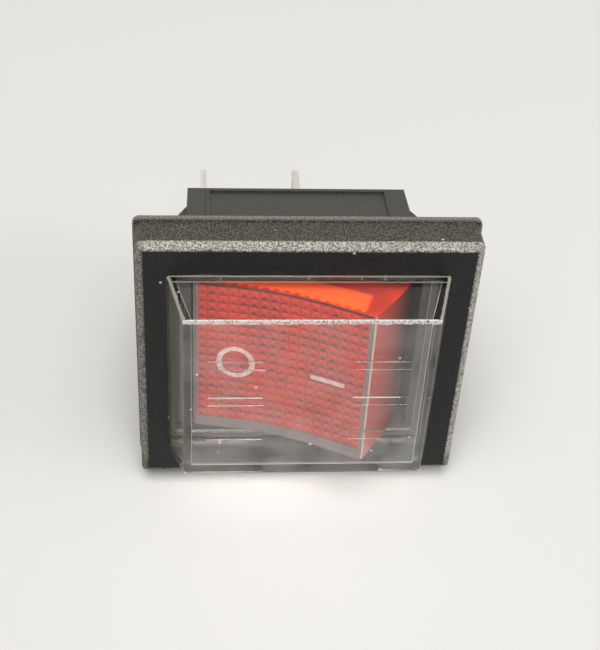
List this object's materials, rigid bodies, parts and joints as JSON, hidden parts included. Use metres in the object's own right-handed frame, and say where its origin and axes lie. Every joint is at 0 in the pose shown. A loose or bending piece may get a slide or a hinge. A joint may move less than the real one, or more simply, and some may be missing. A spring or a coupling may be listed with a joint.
{
  "type": "panel rocker switch",
  "caption": "Panel rocker switch with an illuminated red rocker under a clear press-through boot in a black guard frame, with flat tab terminals.",
  "frame": {"origin": "centre of the guard frame's back face, on the panel's front surface", "axes": "+Y into the panel, out of the frame's back face; +X along the rocker, from its off end to its on end; +Z across the rocker"},
  "size_m": [0.0398, 0.0372, 0.0354],
  "materials": {
    "frame_black": "textured",
    "boot_clear": "clear flexible",
    "housing_grey": "satin",
    "lens_red": "translucent",
    "carrier_black": "satin",
    "mark_white": "satin",
    "lamp_glass": "polished",
    "resistor_body": "satin",
    "lead_wire": "tinned",
    "plunger_plastic": "satin",
    "spring_steel": "bright",
    "lever_brass": "satin",
    "contact_silver": "satin",
    "terminal_plated": "tin plated"
  },
  "bodies": {
    "switch_body": {"guard_frame": "frame_black", "boot": "boot_clear", "housing": "housing_grey", "centre_terminal_upper": "terminal_plated", "centre_terminal_lower": "terminal_plated", "end_terminal_upper": "terminal_plated", "end_terminal_lower": "terminal_plated", "fixed_contact_upper": "contact_silver", "fixed_contact_lower": "contact_silver"},
    "rocker": {"rocker_lens": "lens_red", "rocker_carrier": "carrier_black", "off_mark": "mark_white", "on_mark": "mark_white", "neon_lamp": "lamp_glass", "lamp_resistor": "resistor_body", "lamp_leads": "lead_wire", "plunger_spring_upper": "spring_steel", "plunger_spring_lower": "spring_steel"},
    "plunger_upper": {"plunger_upper": "plunger_plastic"},
    "plunger_lower": {"plunger_lower": "plunger_plastic"},
    "lever_upper": {"contact_lever_upper": "lever_brass", "moving_contact_upper": "contact_silver"},
    "lever_lower": {"contact_lever_lower": "lever_brass", "moving_contact_lower": "contact_silver"}
  },
  "joints": [
    {"name": "rocker_tilt", "type": "hinge", "parent": "switch_body", "child": "rocker", "pos_m": [0, 0.00245, 0], "axis": [0, 0, 1], "range_deg": [0, 37]},
    {"name": "plunger_upper_slide", "type": "slide", "parent": "rocker", "child": "plunger_upper", "axis": [-0.3173, -0.9483, 0], "range_m": [0, 0.0009], "stiffness_N_per_m": 400, "springref_m": -0.0015, "deforming": ["plunger_spring_upper"]},
    {"name": "plunger_lower_slide", "type": "slide", "parent": "rocker", "child": "plunger_lower", "axis": [-0.3173, -0.9483, 0], "range_m": [0, 0.0009], "stiffness_N_per_m": 400, "springref_m": -0.0015, "deforming": ["plunger_spring_lower"]},
    {"name": "lever_upper_tilt", "type": "hinge", "parent": "switch_body", "child": "lever_upper", "pos_m": [0, 0.01045, 0.0053], "axis": [0, 0, 1], "range_deg": [-18, 0]},
    {"name": "lever_lower_tilt", "type": "hinge", "parent": "switch_body", "child": "lever_lower", "pos_m": [0, 0.01045, -0.0053], "axis": [0, 0, 1], "range_deg": [-18, 0]}
  ],
  "couplings": [
    {"joint": "lever_upper_tilt", "follows": "rocker_tilt", "ratio": -0.48649},
    {"joint": "lever_lower_tilt", "follows": "rocker_tilt", "ratio": -0.48649}
  ]
}
